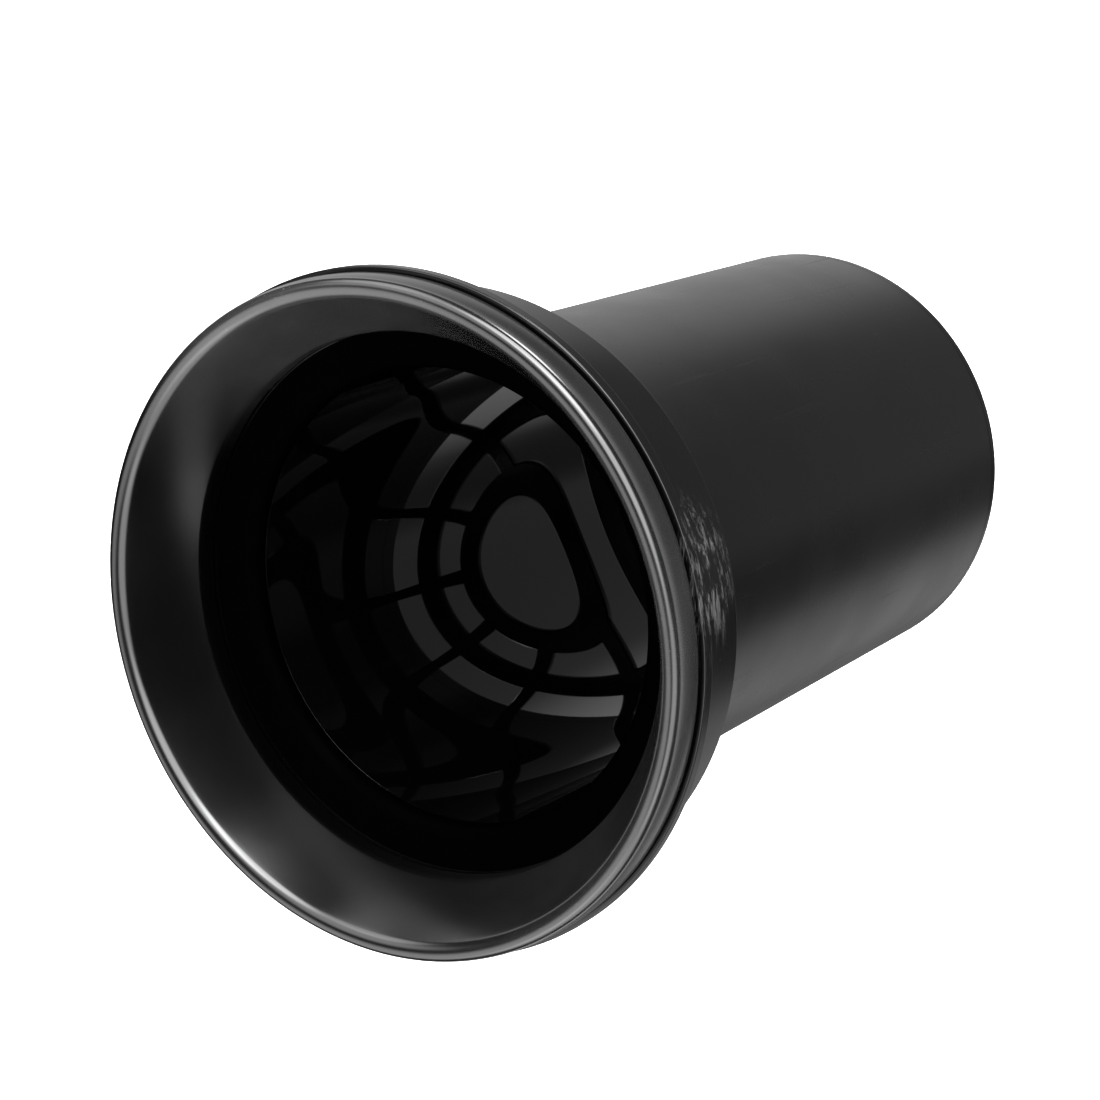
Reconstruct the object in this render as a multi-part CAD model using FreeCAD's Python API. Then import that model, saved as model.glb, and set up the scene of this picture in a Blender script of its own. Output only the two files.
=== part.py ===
import FreeCAD, Part
import math
import os

# Flared speaker port: a bell mouth set in a baffle collar, a straight tube and a grille in its tail.
# Millimetres. The tube's axis is Y, the mouth looks along -Y and +Z is up.
# The origin is on the axis, in the plane of the flange's rear face, which seats on the baffle.

# Straight tube
TUBE_RADIUS = 55.0
BORE_RADIUS = 51.0
TUBE_FRONT = 17.0
TAIL = 188.5

# Bell mouth
RIM_RADIUS = 74.0
RIM_ROUND_IN = 3.2
RIM_ROUND_OUT = 1.9
LAND_CROWN = 20.0
LAND_ANGLE = 12.0
MOUTH = -11.5
RIM_BACK = -3.8
PAD_RADIUS = 71.0
FLARE_ANGLE_RIM = 32.5
FLARE_ANGLE_THROAT = 27.5
THROAT_RADIUS = 60.2
THROAT_ROUND = 4.0
BELL_WALL = 2.2
BELL_BACK = 9.3

# Collar
FLANGE_RADIUS = 75.0
FLANGE_FRONT = -3.0
FLANGE_CHAMFER = 0.4
SKIRT_RADIUS = 68.3
SKIRT_BACK = 22.7
SKIRT_ROUND = 0.6
SKIRT_INNER = 65.3
SLEEVE_CLEARANCE = 0.15
CONE_CLEARANCE = 0.2
SHOULDER_FRONT = 10.8
SHOULDER_RADIUS = 60.4
FUNNEL_ROUND = 4.0
FUNNEL_END = 14.7
SOCKET_CLEARANCE = 0.05
SOCKET_OUTER = 57.4
SOCKET_BACK = 34.0
POCKET_FLOOR = 13.5
RIB_COUNT = 12
RIB_THICKNESS = 2.0
RIB_BACK = 20.0
RIB_BITE = 0.5

# End grille
GRILLE_THICKNESS = 2.5
SPIGOT_RADIUS = 52.7
SPIGOT_LENGTH = 2.9
REBATE_RADIUS = 52.8
REBATE_DEPTH = 3.0
TAIL_CHAMFER = 0.5
OUTER_RING = (31.8, 39.9)
INNER_RING = (16.1, 23.1)
SPOKE_COUNT = 6
SPOKE_WIDTH = 6.0
SPOKE_START = 10.0
SPOKE_BITE = 1.0
GRILLE_EDGE = 0.5

AXIS = FreeCAD.Vector(0, 1, 0)
ORIGIN = FreeCAD.Vector(0, 0, 0)


def point(y, r):
    """A point of a lathe outline: y along the axis, r from it."""
    return FreeCAD.Vector(r, y, 0)


def on_circle(centre, radius, angle):
    """The point of a circle in the outline plane, its angle taken from -Y towards the axis."""
    a = math.radians(angle)
    return (centre[0] - radius * math.cos(a), centre[1] - radius * math.sin(a))


def arc(centre, radius, start, end):
    """An arc about a centre, from one angle to another as on_circle takes them."""
    ends = [on_circle(centre, radius, angle) for angle in (start, (start + end) / 2, end)]
    return ("arc", ends[0], ends[1], ends[2])


def lathe(outline):
    """Turn an outline of (y, r) points and arcs about the Y axis into a solid."""
    edges = []
    last = None
    first = None
    for item in outline:
        start = item[1] if item[0] == "arc" else item
        if last is None:
            first = start
        elif math.dist(last, start) > 1e-6:
            edges.append(Part.LineSegment(point(*last), point(*start)).toShape())
        last = start
        if item[0] == "arc":
            edges.append(Part.Arc(point(*item[1]), point(*item[2]), point(*item[3])).toShape())
            last = item[3]
    if math.dist(last, first) > 1e-6:
        edges.append(Part.LineSegment(point(*last), point(*first)).toShape())
    face = Part.Face(Part.Wire(edges))
    return face.revolve(ORIGIN, AXIS, 360)


def ring(inner, outer, front, back):
    """A plain ring about the axis."""
    return lathe([(front, inner), (front, outer), (back, outer), (back, inner)])


def spread(solid, count, start):
    """Copies of a solid turned evenly about the axis, start degrees from +X towards +Z."""
    copies = []
    for i in range(count):
        copy = solid.copy()
        copy.rotate(ORIGIN, AXIS, -(start + i * 360.0 / count))
        copies.append(copy)
    return copies


def land_start():
    """Where the rim's outer rounding meets its slightly crowned land, and the crown's centre."""
    a = math.radians(LAND_ANGLE)
    crown_r = RIM_RADIUS - LAND_CROWN
    start_r = crown_r + LAND_CROWN * math.cos(a)
    crest_r = start_r - RIM_ROUND_OUT * math.cos(a)
    start_y = MOUTH + RIM_ROUND_OUT * (1 - math.sin(a))
    return crest_r, (start_y + LAND_CROWN * math.sin(a), crown_r)


def flare_ends():
    """Both ends of the flare, the centre of the bend into the throat and the flare's mean slope."""
    crest_r, _ = land_start()
    centre = (MOUTH + RIM_ROUND_IN, crest_r)
    top = on_circle(centre, RIM_ROUND_IN, 90 - FLARE_ANGLE_RIM)
    bend_radius = THROAT_RADIUS + THROAT_ROUND
    bottom_r = bend_radius - THROAT_ROUND * math.cos(math.radians(FLARE_ANGLE_THROAT))
    mean_slope = math.tan(math.radians((FLARE_ANGLE_RIM + FLARE_ANGLE_THROAT) / 2))
    bottom_y = top[0] + (top[1] - bottom_r) / mean_slope
    bend = (bottom_y + THROAT_ROUND * math.sin(math.radians(FLARE_ANGLE_THROAT)), bend_radius)
    return centre, top, (bottom_y, bottom_r), bend, mean_slope


def flare_curve(top, bottom):
    """The flare: one large arc, tangent to the rim's rounding and to the throat's bend."""
    turn = math.radians(FLARE_ANGLE_RIM - FLARE_ANGLE_THROAT)
    radius = math.dist(top, bottom) / 2 / math.sin(turn / 2)
    a = math.radians(90 - FLARE_ANGLE_RIM)
    centre = (top[0] + radius * math.cos(a), top[1] + radius * math.sin(a))
    return arc(centre, radius, 90 - FLARE_ANGLE_RIM, 90 - FLARE_ANGLE_THROAT)


def cone_back():
    """The back of the bell's conical wall at the flange's front, and its slope."""
    _, top, _, _, slope = flare_ends()
    lean = math.atan(slope)
    start = (top[0] + BELL_WALL * math.sin(lean), top[1] + BELL_WALL * math.cos(lean))
    return start[1] - slope * (FLANGE_FRONT - start[0]), slope


def bell_flare():
    """The bell mouth: rolled rim, conical flare and a short throat sleeve."""
    rim_centre, top, bottom, bend, _ = flare_ends()
    back_radius, slope = cone_back()
    sleeve = THROAT_RADIUS + BELL_WALL
    sleeve_start = FLANGE_FRONT + (back_radius - sleeve) / slope
    crest_r, crown = land_start()
    land_end = -90 - math.degrees(math.asin((RIM_BACK - crown[0]) / LAND_CROWN))
    outline = [
        arc((MOUTH + RIM_ROUND_OUT, crest_r), RIM_ROUND_OUT, LAND_ANGLE - 90, 0),
        arc(rim_centre, RIM_ROUND_IN, 0, 90 - FLARE_ANGLE_RIM),
        flare_curve(top, bottom),
        arc(bend, THROAT_ROUND, 90 - FLARE_ANGLE_THROAT, 90),
        (BELL_BACK, THROAT_RADIUS),
        (BELL_BACK, sleeve),
        (sleeve_start, sleeve),
        (FLANGE_FRONT, back_radius),
        (FLANGE_FRONT, PAD_RADIUS),
        (RIM_BACK, PAD_RADIUS),
        arc(crown, LAND_CROWN, land_end, LAND_ANGLE - 90),
    ]
    return lathe(outline)


def funnel_tangent(centre):
    """The angle at which a line from the shoulder's edge touches the funnel's rounding."""
    dy = centre[0] - SHOULDER_FRONT
    dr = centre[1] - SHOULDER_RADIUS
    reach = math.hypot(dy, dr)
    heading = math.degrees(math.atan2(-dr, dy))
    half = math.degrees(math.asin(FUNNEL_ROUND / reach))
    return 90 - (heading - half)


def baffle_collar():
    """The collar: flange, skirt, seat for the bell, funnel into the bore and socket for the tube."""
    back_radius, slope = cone_back()
    cone_start = back_radius + CONE_CLEARANCE
    sleeve_bore = THROAT_RADIUS + BELL_WALL + SLEEVE_CLEARANCE
    cone_end = FLANGE_FRONT + (cone_start - sleeve_bore) / slope
    rounding = (FUNNEL_END, BORE_RADIUS + FUNNEL_ROUND)
    touch = funnel_tangent(rounding)
    socket = TUBE_RADIUS + SOCKET_CLEARANCE
    skirt_end = (SKIRT_BACK - SKIRT_ROUND, SKIRT_RADIUS - SKIRT_ROUND)
    outline = [
        (FLANGE_FRONT, cone_start),
        (cone_end, sleeve_bore),
        (SHOULDER_FRONT, sleeve_bore),
        (SHOULDER_FRONT, SHOULDER_RADIUS),
        arc(rounding, FUNNEL_ROUND, touch, 90),
        (TUBE_FRONT, BORE_RADIUS),
        (TUBE_FRONT, socket),
        (SOCKET_BACK, socket),
        (SOCKET_BACK, SOCKET_OUTER),
        (POCKET_FLOOR, SOCKET_OUTER),
        (POCKET_FLOOR, SKIRT_INNER),
        (SKIRT_BACK, SKIRT_INNER),
        arc(skirt_end, SKIRT_ROUND, -180, -90),
        (0, SKIRT_RADIUS),
        (0, FLANGE_RADIUS - FLANGE_CHAMFER),
        (-FLANGE_CHAMFER, FLANGE_RADIUS),
        (FLANGE_FRONT + FLANGE_CHAMFER, FLANGE_RADIUS),
        (FLANGE_FRONT, FLANGE_RADIUS - FLANGE_CHAMFER),
    ]
    body = lathe(outline)
    rib = Part.makeBox(
        SKIRT_INNER - SOCKET_OUTER + 2 * RIB_BITE,
        RIB_BACK - POCKET_FLOOR + RIB_BITE,
        RIB_THICKNESS,
        FreeCAD.Vector(SOCKET_OUTER - RIB_BITE, POCKET_FLOOR - RIB_BITE, -RIB_THICKNESS / 2),
    )
    first = SPOKE_START + 180.0 / RIB_COUNT
    return body.fuse(spread(rib, RIB_COUNT, first)).removeSplitter().Solids[0]


def port_tube():
    """The straight tube, with a rebate in its tail for the grille."""
    end = TAIL - GRILLE_THICKNESS
    rebate = end - REBATE_DEPTH
    return lathe([
        (TUBE_FRONT, BORE_RADIUS),
        (TUBE_FRONT, TUBE_RADIUS),
        (end, TUBE_RADIUS),
        (end, REBATE_RADIUS),
        (rebate, REBATE_RADIUS),
        (rebate, BORE_RADIUS),
    ])


def web_ring(radii, front, back):
    """One hoop of the grille, its edges eased."""
    inner, outer = radii
    e = GRILLE_EDGE
    return lathe([
        (front, inner + e),
        (front, outer - e),
        (front + e, outer),
        (back - e, outer),
        (back, outer - e),
        (back, inner + e),
        (back - e, inner),
        (front + e, inner),
    ])


def spoke(front, back):
    """One spoke along +X, from the inner hoop to the outer ring, its edges eased."""
    half = SPOKE_WIDTH / 2
    e = GRILLE_EDGE
    start = INNER_RING[1] - SPOKE_BITE
    section = [
        (front, half - e),
        (front + e, half),
        (back - e, half),
        (back, half - e),
        (back, e - half),
        (back - e, -half),
        (front + e, -half),
        (front, e - half),
    ]
    corners = [FreeCAD.Vector(start, y, z) for y, z in section]
    face = Part.Face(Part.makePolygon(corners + corners[:1]))
    return face.extrude(FreeCAD.Vector(BORE_RADIUS + SPOKE_BITE - start, 0, 0))


def end_grille():
    """The tail grille: outer ring with its spigot, two hoops and six spokes in one moulding."""
    front = TAIL - GRILLE_THICKNESS
    outer = lathe([
        (front - SPIGOT_LENGTH, BORE_RADIUS),
        (front - SPIGOT_LENGTH, SPIGOT_RADIUS),
        (front, SPIGOT_RADIUS),
        (front, TUBE_RADIUS),
        (TAIL - TAIL_CHAMFER, TUBE_RADIUS),
        (TAIL, TUBE_RADIUS - TAIL_CHAMFER),
        (TAIL, BORE_RADIUS),
    ])
    pieces = [web_ring(OUTER_RING, front, TAIL), web_ring(INNER_RING, front, TAIL)]
    pieces += spread(spoke(front, TAIL), SPOKE_COUNT, SPOKE_START)
    return outer.fuse(pieces).removeSplitter().Solids[0]


PARTS = {
    "bell_flare": bell_flare,
    "baffle_collar": baffle_collar,
    "port_tube": port_tube,
    "end_grille": end_grille,
}


def main():
    os.makedirs("parts", exist_ok=True)
    for name, make in PARTS.items():
        shape = make()
        shape.exportStep(f"parts/{name}.step")
        print(name, shape.ShapeType, len(shape.Solids), round(shape.Volume), shape.isValid())


main()
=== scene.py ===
import math

import bmesh
import bpy
from mathutils import Matrix, Vector


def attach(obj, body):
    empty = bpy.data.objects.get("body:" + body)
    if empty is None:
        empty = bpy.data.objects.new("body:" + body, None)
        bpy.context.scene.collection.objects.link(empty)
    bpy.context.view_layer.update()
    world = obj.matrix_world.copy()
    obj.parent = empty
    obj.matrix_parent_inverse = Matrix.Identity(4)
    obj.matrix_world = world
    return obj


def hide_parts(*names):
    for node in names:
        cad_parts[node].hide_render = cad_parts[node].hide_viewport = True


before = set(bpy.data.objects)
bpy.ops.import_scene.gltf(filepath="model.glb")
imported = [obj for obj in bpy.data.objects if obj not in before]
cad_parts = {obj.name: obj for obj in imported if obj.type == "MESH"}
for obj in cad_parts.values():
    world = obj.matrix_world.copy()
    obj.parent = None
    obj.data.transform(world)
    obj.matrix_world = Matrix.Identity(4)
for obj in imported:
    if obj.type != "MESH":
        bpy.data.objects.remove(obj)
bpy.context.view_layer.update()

MM = 0.001
TURNS = 360
UV_RADIUS = 0.06

# The pieces' own numbers, in millimetres: y along the axis, r from it. They are the CAD's,
# apart from small differences in the funnel's bend and in the ribs, which are eased here.
# Bell
RIM_RADIUS = 74.0
RIM_ROUND_IN = 3.2
RIM_ROUND_OUT = 1.9
LAND_CROWN = 20.0
LAND_ANGLE = 12.0
MOUTH = -11.5
RIM_BACK = -3.8
PAD_RADIUS = 71.0
FLARE_ANGLE_RIM = 32.5
FLARE_ANGLE_THROAT = 27.5
THROAT_RADIUS = 60.2
THROAT_ROUND = 4.0
SLEEVE_RADIUS = THROAT_RADIUS + 2.2
SLEEVE_FRONT = 6.3
CONE_RADIUS = 67.7
BELL_BACK = 9.3

# Collar
FLANGE_RADIUS = 75.0
FLANGE_FRONT = -3.0
SKIRT_RADIUS = 68.3
SKIRT_BACK = 22.7
SKIRT_INNER = 65.3
SEAT_RADIUS = 62.6
SEAT_CONE_RADIUS = 67.97
SHOULDER_FRONT = 10.8
SHOULDER_RADIUS = 60.4
FUNNEL_MIDDLE = (13.1, 53.4)
FUNNEL_END = 14.9
SOCKET_RADIUS = 55.05
SOCKET_OUTER = 57.4
SOCKET_BACK = 34.0
POCKET_FLOOR = 13.5
RIBS = 12
RIB_START = 25.0
RIB_BITE = 0.3
RIB_SECTION = [(-1.0, 12.8), (1.0, 12.8), (0.85, 19.4), (0.45, 20.0), (-0.45, 20.0), (-0.85, 19.4)]

# Tube
TUBE_RADIUS = 55.0
BORE_RADIUS = 51.0
TUBE_FRONT = 17.0
TUBE_BACK = 186.0
REBATE_FRONT = 183.0
REBATE_RADIUS = 52.8


# ---------------------------------------------------------------- turned shapes

def arc(centre, radius, a0, a1, steps):
    """Smooth points of an arc, its angle taken from -y towards the axis."""
    out = []
    for k in range(steps + 1):
        a = math.radians(a0 + (a1 - a0) * k / steps)
        out.append((centre[0] - radius * math.cos(a), centre[1] - radius * math.sin(a), None))
    return out


def normal_of(a, b, side):
    d = Vector((b[0] - a[0], b[1] - a[1])).normalized()
    return Vector((d[1], -d[0])) * side


def outline(corners, steps=6):
    """A closed outline as segments (start, end, normal at start, normal at end).
    A corner is (y, r, easing radius), with 0 for a sharp one and None for a point on a smooth curve."""
    count = len(corners)
    points = [Vector(c[:2]) for c in corners]
    area = sum(points[i - 1].cross(points[i]) for i in range(count))
    side = 1 if area > 0 else -1
    normals = [normal_of(points[i], points[(i + 1) % count], side) for i in range(count)]
    cuts = []
    for i in range(count):
        ease = corners[i][2]
        before, after = normals[i - 1], normals[i]
        if ease is None:
            shared = (before + after).normalized()
            cuts.append((points[i], points[i], shared, shared, []))
            continue
        turn = math.atan2(before.cross(after), before.dot(after))
        if ease == 0 or abs(turn) < 1e-4:
            cuts.append((points[i], points[i], before, after, []))
            continue
        reach = ease * math.tan(abs(turn) / 2)
        back = (points[i - 1] - points[i]).normalized()
        bulge = 1 if turn * side > 0 else -1
        first = points[i] + back * reach
        centre = first - before * ease * bulge
        bend = []
        for k in range(steps + 1):
            n = Matrix.Rotation(turn * k / steps, 2) @ before
            bend.append((centre + n * ease * bulge, n))
        cuts.append((bend[0][0], bend[-1][0], before, after, bend))
    segments = []
    for i in range(count):
        bend = cuts[i][4]
        for (p, n), (q, m) in zip(bend, bend[1:]):
            segments.append((p, q, n, m))
        start, end = cuts[i][1], cuts[(i + 1) % count][0]
        if (end - start).length > 1e-6:
            n0 = cuts[i][3] if corners[i][2] is None else normals[i]
            following = (i + 1) % count
            n1 = cuts[following][2] if corners[following][2] is None else normals[i]
            segments.append((start, end, n0, n1))
    return segments


def lathe(name, corners, steps=6):
    """A turned mesh with true normals, and a UV map in metres: round the axis, and along the outline."""
    segments = outline(corners, steps)
    rings = len(segments)
    verts = []
    for start, _, _, _ in segments:
        for k in range(TURNS):
            a = 2 * math.pi * k / TURNS
            verts.append((start[1] * MM * math.cos(a), start[0] * MM, start[1] * MM * math.sin(a)))
    faces, normals, uvs = [], [], []
    travelled = 0.0
    for i, (start, end, n0, n1) in enumerate(segments):
        j = (i + 1) % rings
        length = (end - start).length
        v0, v1 = travelled * MM, (travelled + length) * MM
        travelled += length
        for k in range(TURNS):
            m = (k + 1) % TURNS
            faces.append((i * TURNS + k, j * TURNS + k, j * TURNS + m, i * TURNS + m))
            for n, step, v in ((n0, k, v0), (n1, k, v1), (n1, k + 1, v1), (n0, k + 1, v0)):
                a = 2 * math.pi * step / TURNS
                normals.append((n[1] * math.cos(a), n[0], n[1] * math.sin(a)))
                uvs.append((a * UV_RADIUS, v))
    if Vector(faces_normal(verts, faces[0])).dot(Vector(normals[0])) < 0:
        faces = [f[::-1] for f in faces]
        normals = flip_corners(normals)
        uvs = flip_corners(uvs)
    mesh = bpy.data.meshes.new(name)
    mesh.from_pydata(verts, [], faces)
    layer = mesh.uv_layers.new(name="turned")
    layer.data.foreach_set("uv", [x for uv in uvs for x in uv])
    mesh.shade_smooth()
    mesh.normals_split_custom_set(normals)
    return add(name, mesh)


def faces_normal(verts, face):
    a, b, c = (Vector(verts[i]) for i in face[:3])
    return (b - a).cross(c - a)


def flip_corners(values):
    return [values[i + 3 - k] for i in range(0, len(values), 4) for k in range(4)]


def add(name, mesh):
    obj = bpy.data.objects.new(name, mesh)
    bpy.context.scene.collection.objects.link(obj)
    return obj


# ---------------------------------------------------------------- pieces

def rim_and_flare():
    """The rim's crowned land, its rounding and the flare down to the throat, as the CAD has them."""
    lean = math.radians(LAND_ANGLE)
    rim, throat = math.radians(FLARE_ANGLE_RIM), math.radians(FLARE_ANGLE_THROAT)
    crest_r = RIM_RADIUS - LAND_CROWN + (LAND_CROWN - RIM_ROUND_OUT) * math.cos(lean)
    land_y = MOUTH + RIM_ROUND_OUT * (1 - math.sin(lean)) + LAND_CROWN * math.sin(lean)
    land = (land_y, RIM_RADIUS - LAND_CROWN)
    land_end = -90 - math.degrees(math.asin((RIM_BACK - land_y) / LAND_CROWN))
    top = (MOUTH + RIM_ROUND_IN * (1 - math.sin(rim)), crest_r - RIM_ROUND_IN * math.cos(rim))
    bend_r = THROAT_RADIUS + THROAT_ROUND
    low_r = bend_r - THROAT_ROUND * math.cos(throat)
    low_y = top[0] + (top[1] - low_r) / math.tan((rim + throat) / 2)
    bend = (low_y + THROAT_ROUND * math.sin(throat), bend_r)
    radius = math.dist(top, (low_y, low_r)) / 2 / math.sin((rim - throat) / 2)
    flare = (top[0] + radius * math.sin(rim), top[1] + radius * math.cos(rim))
    rim_tilt, throat_tilt = 90 - FLARE_ANGLE_RIM, 90 - FLARE_ANGLE_THROAT
    curve = arc(land, LAND_CROWN, land_end, LAND_ANGLE - 90, 6)
    curve += arc((MOUTH + RIM_ROUND_OUT, crest_r), RIM_ROUND_OUT, LAND_ANGLE - 90, 0, 12)[1:]
    curve += arc((MOUTH + RIM_ROUND_IN, crest_r), RIM_ROUND_IN, 0, rim_tilt, 14)[1:]
    curve += arc(flare, radius, rim_tilt, throat_tilt, 20)[1:]
    curve += arc(bend, THROAT_ROUND, throat_tilt, 90, 12)[1:]
    curve[0] = (*curve[0][:2], 0.25)
    return curve


def bell_flare():
    corners = rim_and_flare() + [
        (BELL_BACK, THROAT_RADIUS, 0.3),
        (BELL_BACK, SLEEVE_RADIUS, 0.3),
        (SLEEVE_FRONT, SLEEVE_RADIUS, 1.0),
        (FLANGE_FRONT, CONE_RADIUS, 0.3),
        (FLANGE_FRONT, PAD_RADIUS, 0.0),
        (RIM_BACK, PAD_RADIUS, 0.2),
    ]
    return lathe("bell_shell", corners)


def baffle_collar():
    corners = [
        (FLANGE_FRONT, SEAT_CONE_RADIUS, 0.0),
        (SLEEVE_FRONT, SEAT_RADIUS, 0.0),
        (SHOULDER_FRONT, SEAT_RADIUS, 0.0),
        (SHOULDER_FRONT, SHOULDER_RADIUS, 0.3),
        (*FUNNEL_MIDDLE, 4.0),
        (FUNNEL_END, BORE_RADIUS, 3.0),
        (TUBE_FRONT, BORE_RADIUS, 0.0),
        (TUBE_FRONT, SOCKET_RADIUS, 0.0),
        (SOCKET_BACK, SOCKET_RADIUS, 0.2),
        (SOCKET_BACK, SOCKET_OUTER, 0.5),
        (POCKET_FLOOR, SOCKET_OUTER, 0.6),
        (POCKET_FLOOR, SKIRT_INNER, 0.6),
        (SKIRT_BACK, SKIRT_INNER, 0.3),
        (SKIRT_BACK, SKIRT_RADIUS, 0.6),
        (0.0, SKIRT_RADIUS, 0.35),
        (0.0, FLANGE_RADIUS, 0.4),
        (FLANGE_FRONT, FLANGE_RADIUS, 0.4),
    ]
    return lathe("collar_shell", corners)


def collar_ribs():
    """The stiffening ribs between skirt and socket, eased along their free edges."""
    mesh = bpy.data.meshes.new("collar_ribs")
    bm = bmesh.new()
    for i in range(RIBS):
        turn = Matrix.Rotation(-math.radians(RIB_START + i * 360.0 / RIBS), 4, "Y")
        rows = []
        for r in (SOCKET_OUTER - RIB_BITE, (SOCKET_OUTER + SKIRT_INNER) / 2, SKIRT_INNER + RIB_BITE):
            row = [bm.verts.new(turn @ Vector((r * MM, y * MM, z * MM))) for z, y in RIB_SECTION]
            rows.append(row)
        for a, b in zip(rows, rows[1:]):
            for k in range(len(RIB_SECTION)):
                m = (k + 1) % len(RIB_SECTION)
                bm.faces.new((a[k], a[m], b[m], b[k]))
        bm.faces.new(rows[0][::-1])
        bm.faces.new(rows[-1])
    bmesh.ops.recalc_face_normals(bm, faces=bm.faces)
    bm.to_mesh(mesh)
    bm.free()
    mesh.shade_smooth()
    mesh.set_sharp_from_angle(angle=math.radians(28))
    return add("collar_ribs", mesh)


def port_tube():
    corners = [
        (TUBE_FRONT, BORE_RADIUS, 0.15),
        (TUBE_FRONT, TUBE_RADIUS, 0.3),
        (TUBE_BACK, TUBE_RADIUS, 0.35),
        (TUBE_BACK, REBATE_RADIUS, 0.0),
        (REBATE_FRONT, REBATE_RADIUS, 0.0),
        (REBATE_FRONT, BORE_RADIUS, 0.15),
    ]
    return lathe("tube_shell", corners)


# ---------------------------------------------------------------- materials

# How rough and how pale a rubbed place gets, how the tube is scratched, where it is rubbed, and where light
# is painted on the bell's flare as lighter patches
RUB_ROUGHNESS = 0.25
RUB_PALENESS = 220.0
RUBBED = [((0.066, 0.007, 0.016), 0.02, (1.0, 1.0, 0.12))]
ALONG_TUBE = (1, 0.03, 1)
# Painted light on the bell's flare: lighter gray patches on its top and on its +x side, standing in for light
# falling there, as (point, radius, amount).
PAINTED_LIGHT_PATCHES = [((-0.017, -0.002, 0.063), 0.055, 26.0), ((0.058, 0.0, -0.005), 0.1, 14.0)]


class Paint:
    """A small helper that adds nodes to a material and links them."""

    def __init__(self, name):
        self.material = bpy.data.materials.new(name)
        self.material.use_nodes = True
        self.tree = self.material.node_tree
        self.shader = self.tree.nodes["Principled BSDF"]
        self.coords = self.node("ShaderNodeTexCoord")

    def node(self, kind, **settings):
        node = self.tree.nodes.new(kind)
        for key, value in settings.items():
            setattr(node, key, value)
        return node

    def link(self, source, target):
        self.tree.links.new(source, target)

    def mapped(self, which, scale):
        mapping = self.node("ShaderNodeMapping")
        mapping.inputs["Scale"].default_value = scale
        self.link(self.coords.outputs[which], mapping.inputs["Vector"])
        return mapping.outputs["Vector"]

    def noise(self, vector, scale, detail=4.0, roughness=0.55):
        node = self.node("ShaderNodeTexNoise")
        node.inputs["Scale"].default_value = scale
        node.inputs["Detail"].default_value = detail
        node.inputs["Roughness"].default_value = roughness
        self.link(vector, node.inputs["Vector"])
        return node.outputs["Fac"]

    def span(self, value, low, high, to_low, to_high):
        node = self.node("ShaderNodeMapRange", interpolation_type="SMOOTHSTEP")
        for key, number in zip(("From Min", "From Max", "To Min", "To Max"), (low, high, to_low, to_high)):
            node.inputs[key].default_value = number
        self.link(value, node.inputs["Value"])
        return node.outputs["Result"]

    def maths(self, operation, a, b):
        node = self.node("ShaderNodeMath", operation=operation)
        for socket, value in zip(node.inputs, (a, b)):
            if isinstance(value, (int, float)):
                socket.default_value = value
            else:
                self.link(value, socket)
        return node.outputs["Value"]

    def bump(self, height, distance, strength=1.0):
        node = self.node("ShaderNodeBump")
        node.inputs["Distance"].default_value = distance
        node.inputs["Strength"].default_value = strength
        self.link(height, node.inputs["Height"])
        self.link(node.outputs["Normal"], self.shader.inputs["Normal"])

    def near(self, point, radius, most):
        """Most at a point, nothing beyond a radius from it."""
        gap = self.node("ShaderNodeVectorMath", operation="DISTANCE")
        self.link(self.coords.outputs["Object"], gap.inputs[0])
        gap.inputs[1].default_value = point
        return self.span(gap.outputs["Value"], radius * 0.3, radius, most, 0.0)

    def colour(self, value, dark, light, clamp=True):
        """A blend of two grays or colours. Without the clamp, a value above 1 goes on past the light one."""
        ramp = self.node("ShaderNodeMix", data_type="RGBA", clamp_factor=clamp)
        ramp.inputs["A"].default_value = (*dark, 1)
        ramp.inputs["B"].default_value = (*light, 1)
        self.link(value, ramp.inputs["Factor"])
        self.link(ramp.outputs["Result"], self.shader.inputs["Base Color"])


def scuffed(p, gloss, tone, spots):
    """Pale rubbed streaks in a few places, as (point, radius, how the streaks run)."""
    for point, radius, along in spots:
        streaks = p.span(p.noise(p.mapped("Object", along), 700.0, 5.0, 0.75), 0.48, 0.66, 0.0, 1.0)
        rub = p.maths("MULTIPLY", p.near(point, radius, 1.0), streaks)
        gloss = p.maths("ADD", gloss, p.maths("MULTIPLY", rub, RUB_ROUGHNESS))
        tone = p.maths("ADD", tone, p.maths("MULTIPLY", rub, RUB_PALENESS))
    return gloss, tone


def painted_light(p, tone, patches):
    """Painted light: lighter gray added in patches, as (point, radius, amount), standing in for light falling
    there, broken by clouds and specks.
    """
    for point, radius, amount in patches:
        patch_clouds = p.span(p.noise(p.mapped("Object", (1, 1, 1)), 40.0, 6.0, 0.7), 0.3, 0.7, 0.75, 1.25)
        specks = p.span(p.noise(p.mapped("Object", (1, 1, 1)), 1500.0, 1.0), 0.72, 0.8, 1.0, 4.0)
        painted_lift = p.maths("MULTIPLY", p.near(point, radius, amount), p.maths("MULTIPLY", patch_clouds, specks))
        tone = p.maths("ADD", tone, painted_lift)
    return tone


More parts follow.
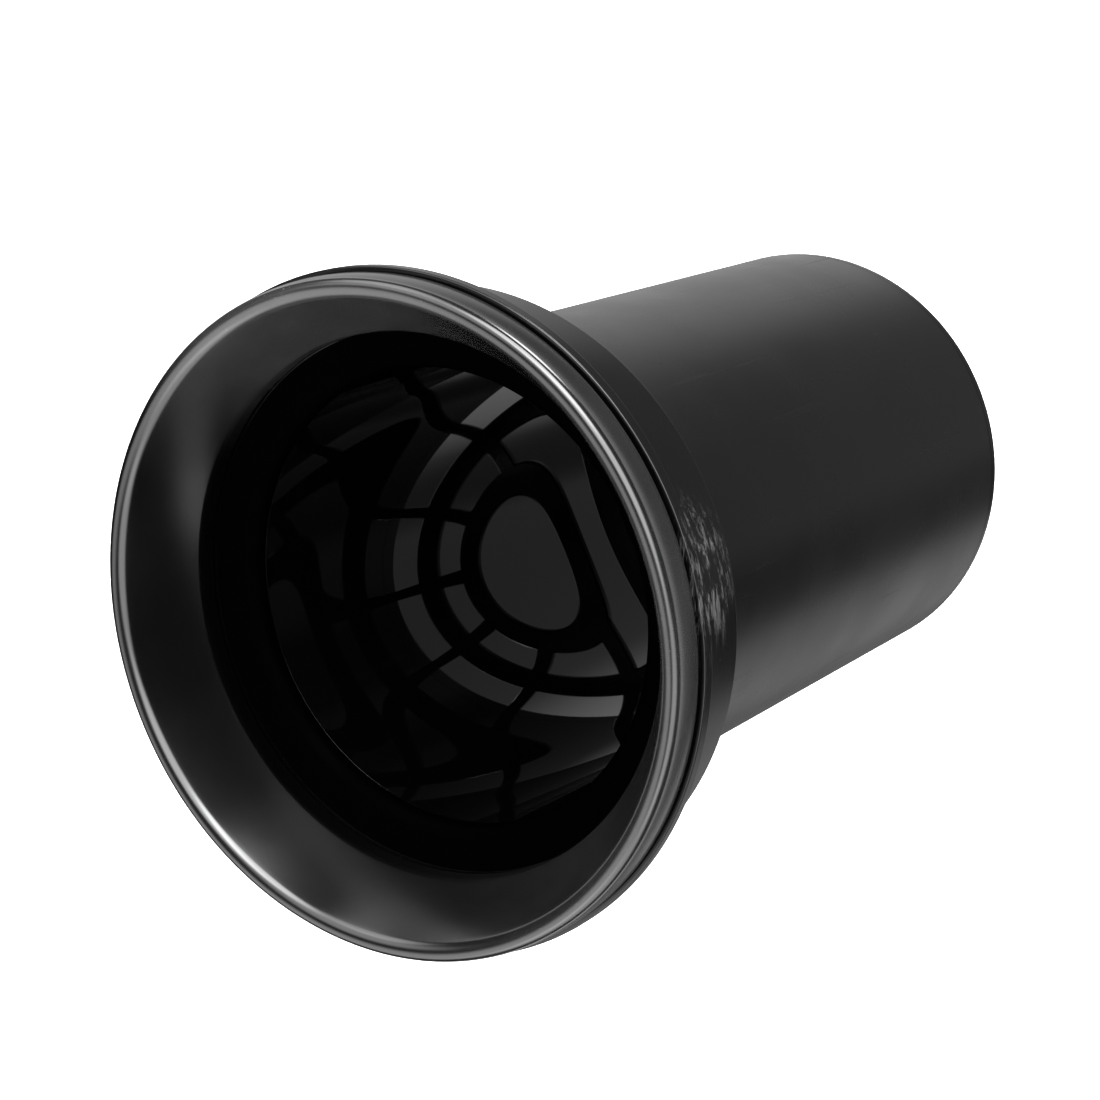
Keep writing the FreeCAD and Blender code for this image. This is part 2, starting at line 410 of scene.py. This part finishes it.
def plastic(name, rough, base=0.0005, along=(1, 1, 1), relief=0.00001, wear=0.06, ior=1.5, spots=(), light_patches=()):
    """Moulded black plastic: cloudy gloss, fine scratches stretched along one way, faint grain, and patches
    of painted light where they are given.
    """
    p = Paint(name)
    where = p.mapped("Object", (1, 1, 1))
    cloud = p.noise(where, 26.0, 3.0)
    grain = p.noise(where, 900.0, 2.0)
    lines = p.noise(p.mapped("Object", along), 420.0, 3.0, 0.7)
    scratch = p.span(lines, 0.62, 0.74, 0.0, 1.0)
    gloss = p.span(cloud, 0.3, 0.7, rough[0], rough[1])
    gloss = p.maths("ADD", gloss, p.maths("MULTIPLY", scratch, wear))
    tone = p.maths("ADD", p.maths("MULTIPLY", cloud, 0.6), p.maths("MULTIPLY", scratch, 0.4))
    gloss, tone = scuffed(p, gloss, tone, spots)
    tone = painted_light(p, tone, light_patches)
    p.link(gloss, p.shader.inputs["Roughness"])
    p.colour(tone, (base * 0.7, base * 0.7, base * 0.72), (base * 1.8, base * 1.8, base * 1.85), False)
    height = p.maths("ADD", p.maths("MULTIPLY", grain, 0.5), p.maths("MULTIPLY", scratch, -0.5))
    p.bump(height, relief)
    p.shader.inputs["IOR"].default_value = ior
    return p.material


def shade_black(name):
    """Painted shade: the unpolished black inside the collar, made to throw almost no light back, so the
    funnel reads as the dark of a deep recess.
    """
    p = Paint(name)
    cloud = p.noise(p.mapped("Object", (1, 1, 1)), 60.0, 4.0)
    p.colour(cloud, (0.0, 0.0, 0.0), (0.0001, 0.0001, 0.0001))
    p.link(p.span(cloud, 0.3, 0.7, 0.55, 0.7), p.shader.inputs["Roughness"])
    p.bump(p.noise(p.mapped("Object", (1, 1, 1)), 700.0, 3.0), 0.00005, 0.6)
    # Almost no reflection: this paints the funnel as shade.
    p.shader.inputs["Specular IOR Level"].default_value = 0.005
    return p.material


def second(obj, material, radius, front, back):
    """Gives the faces inside a radius, between two places along the axis, their own material."""
    obj.data.materials.append(material)
    for face in obj.data.polygons:
        y, r = face.center.y / MM, math.hypot(face.center.x, face.center.z) / MM
        if r < radius and front < y < back:
            face.material_index = 1


def dress(obj, material):
    obj.data.materials.clear()
    obj.data.materials.append(material)
    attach(obj, "root")


# ---------------------------------------------------------------- build

bell = bell_flare()
collar = baffle_collar()
ribs = collar_ribs()
tube = port_tube()
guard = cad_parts["end_grille"]

# The bell's flare gets painted light: lighter gray patches on its top and on its +x side.
polished = plastic("bell_plastic", (0.17, 0.21), base=0.0006, relief=0.000006, wear=0.04, ior=1.8, light_patches=PAINTED_LIGHT_PATCHES)
dress(bell, polished)
dress(collar, plastic("collar_plastic", (0.16, 0.28), relief=0.000008, spots=RUBBED))
dress(ribs, plastic("rib_plastic", (0.2, 0.3)))
dress(tube, plastic("tube_plastic", (0.22, 0.3), along=ALONG_TUBE, relief=0.000006))
guard.data.materials.clear()
guard.data.materials.append(plastic("grille_plastic", (0.15, 0.22)))
# The funnel inside the collar gets painted shade: a black that reflects almost nothing.
second(collar, shade_black("collar_inside_painted_shade"), SHOULDER_RADIUS + 0.6, SHOULDER_FRONT + 0.1, TUBE_FRONT - 0.1)
bore = plastic("bore_plastic", (0.012, 0.03), along=ALONG_TUBE, relief=0.0, wear=0.02)
second(tube, bore, BORE_RADIUS + 0.5, TUBE_FRONT - 1, REBATE_FRONT + 1)

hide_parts("bell_flare")
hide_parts("baffle_collar")
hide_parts("port_tube")


# ---------------------------------------------------------------- stage

FLOOR_HEIGHT = -0.5
FLOOR_HALF = 30.0

# How bright the room is, by the y of a direction: -1 is in front of the mouth, 1 behind the tail.
# ROOM_MOST is the most that a level may be.
ROOM = [
    (-1.0, 0.15), (-0.7, 0.12), (-0.45, 0.04), (-0.2, 0.03), (0.25, 0.05),
    (0.32, 0.12), (0.4, 1.3), (0.54, 1.3), (0.66, 0.22), (1.0, 0.22),
]
ROOM_MOST = 5.0

# Direction of the panel, where it is full, where it fades out (degrees), strength.
# The first seven light the bell from the front. The rest light the tube from above and behind,
# and the last one, below zero, makes a dark place in the room.
PANELS = [
    ((0.1, -0.62, 0.78), 14, 25, 8.0),
    ((0.35, -0.8, 0.45), 14, 34, 5.0),
    ((-0.5, -0.35, 0.79), 8, 20, 3.0),
    ((-0.42, -0.72, 0.5), 8, 26, 2.0),
    ((0.55, -0.75, -0.35), 12, 32, 2.5),
    ((0.1, -0.55, -0.85), 8, 32, 2.2),
    ((-0.45, -0.65, -0.6), 12, 34, 2.0),
    ((0.17, 0.25, 0.95), 6, 14, 14.0),
    ((-0.45, 0.85, 0.3), 5, 32, 0.45),
    ((0.1, 0.85, -0.52), 4, 18, 0.35),
    ((0.45, 0.85, -0.27), 3, 14, -0.14),
]


def floor():
    """A wide pale floor well below the part, so that it throws no shadow."""
    mesh = bpy.data.meshes.new("floor")
    bm = bmesh.new()
    bmesh.ops.create_grid(bm, x_segments=8, y_segments=8, size=FLOOR_HALF)
    bm.to_mesh(mesh)
    bm.free()
    obj = add("floor", mesh)
    obj.location = (0, 0, FLOOR_HEIGHT)
    material = bpy.data.materials.new("pale_floor")
    material.use_nodes = True
    shader = material.node_tree.nodes["Principled BSDF"]
    shader.inputs["Base Color"].default_value = (0.9, 0.9, 0.9, 1)
    shader.inputs["Roughness"].default_value = 0.8
    shader.inputs["Emission Color"].default_value = (1, 1, 1, 1)
    shader.inputs["Emission Strength"].default_value = 1.0
    mesh.materials.append(material)
    obj.visible_glossy = False


def world_node(tree, kind, **settings):
    node = tree.nodes.new(kind)
    for key, value in settings.items():
        setattr(node, key, value)
    return node


def room_light(tree, direction):
    """The room's level, by how far back a direction points."""
    split = world_node(tree, "ShaderNodeSeparateXYZ")
    tree.links.new(direction, split.inputs[0])
    depth = world_node(tree, "ShaderNodeMapRange")
    depth.inputs["From Min"].default_value = -1.0
    tree.links.new(split.outputs["Y"], depth.inputs["Value"])
    ramp = world_node(tree, "ShaderNodeValToRGB")
    ramp.color_ramp.interpolation = "EASE"
    elements = ramp.color_ramp.elements
    while len(elements) > 1:
        elements.remove(elements[-1])
    for k, (y, light) in enumerate(ROOM):
        place = (y + 1) / 2
        element = elements[0] if k == 0 else elements.new(place)
        element.position = place
        element.color = (light / ROOM_MOST, light / ROOM_MOST, light / ROOM_MOST, 1)
    tree.links.new(depth.outputs["Result"], ramp.inputs["Fac"])
    scaled = world_node(tree, "ShaderNodeMath", operation="MULTIPLY")
    scaled.inputs[1].default_value = ROOM_MOST
    tree.links.new(ramp.outputs["Color"], scaled.inputs[0])
    return scaled.outputs["Value"]


def panel_light(tree, direction, total, panel):
    """The light so far, with one soft round panel added to it."""
    towards, inner, outer, strength = panel
    dot = world_node(tree, "ShaderNodeVectorMath", operation="DOT_PRODUCT")
    dot.inputs[1].default_value = Vector(towards).normalized()
    tree.links.new(direction, dot.inputs[0])
    soft = world_node(tree, "ShaderNodeMapRange", interpolation_type="SMOOTHSTEP")
    soft.inputs["From Min"].default_value = math.cos(math.radians(outer))
    soft.inputs["From Max"].default_value = math.cos(math.radians(inner))
    soft.inputs["To Min"].default_value = 0.0
    soft.inputs["To Max"].default_value = strength
    tree.links.new(dot.outputs["Value"], soft.inputs["Value"])
    both = world_node(tree, "ShaderNodeMath", operation="ADD")
    tree.links.new(total, both.inputs[0])
    tree.links.new(soft.outputs["Result"], both.inputs[1])
    return both.outputs["Value"]


def studio():
    """Soft studio light: a dim room with a few soft panels of light round the part, on a white ground."""
    world = bpy.data.worlds.new("studio")
    bpy.context.scene.world = world
    world.use_nodes = True
    tree = world.node_tree
    tree.nodes.clear()
    out = world_node(tree, "ShaderNodeOutputWorld")
    direction = world_node(tree, "ShaderNodeTexCoord").outputs["Generated"]
    total = room_light(tree, direction)
    for panel in PANELS:
        total = panel_light(tree, direction, total, panel)
    room = world_node(tree, "ShaderNodeMath", operation="MAXIMUM")
    room.inputs[1].default_value = 0.0
    tree.links.new(total, room.inputs[0])
    lit = world_node(tree, "ShaderNodeBackground")
    tree.links.new(room.outputs["Value"], lit.inputs["Color"])
    plain = world_node(tree, "ShaderNodeBackground")
    plain.inputs["Color"].default_value = (1, 1, 1, 1)
    seen = world_node(tree, "ShaderNodeLightPath")
    mix = world_node(tree, "ShaderNodeMixShader")
    tree.links.new(seen.outputs["Is Camera Ray"], mix.inputs["Fac"])
    tree.links.new(lit.outputs["Background"], mix.inputs[1])
    tree.links.new(plain.outputs["Background"], mix.inputs[2])
    tree.links.new(mix.outputs["Shader"], out.inputs["Surface"])


def camera():
    """A long lens in front of the mouth, above it and to its right, looking down the axis at a slant."""
    data = bpy.data.cameras.new("camera")
    data.lens = 82.96
    data.sensor_width = 36.0
    data.clip_start = 0.01
    data.clip_end = 100.0
    obj = bpy.data.objects.new("camera", data)
    bpy.context.scene.collection.objects.link(obj)
    right, up, back = (0.8428, 0.5382, 0.0), (-0.1359, 0.2128, 0.9676), (0.5208, -0.8155, 0.2525)
    place = (0.3049, -0.4197, 0.1497)
    rows = [(right[i], up[i], back[i], place[i]) for i in range(3)]
    obj.matrix_world = Matrix((*rows, (0, 0, 0, 1)))
    bpy.context.scene.camera = obj


floor()
studio()
camera()
bpy.context.scene.view_settings.view_transform = "Standard"
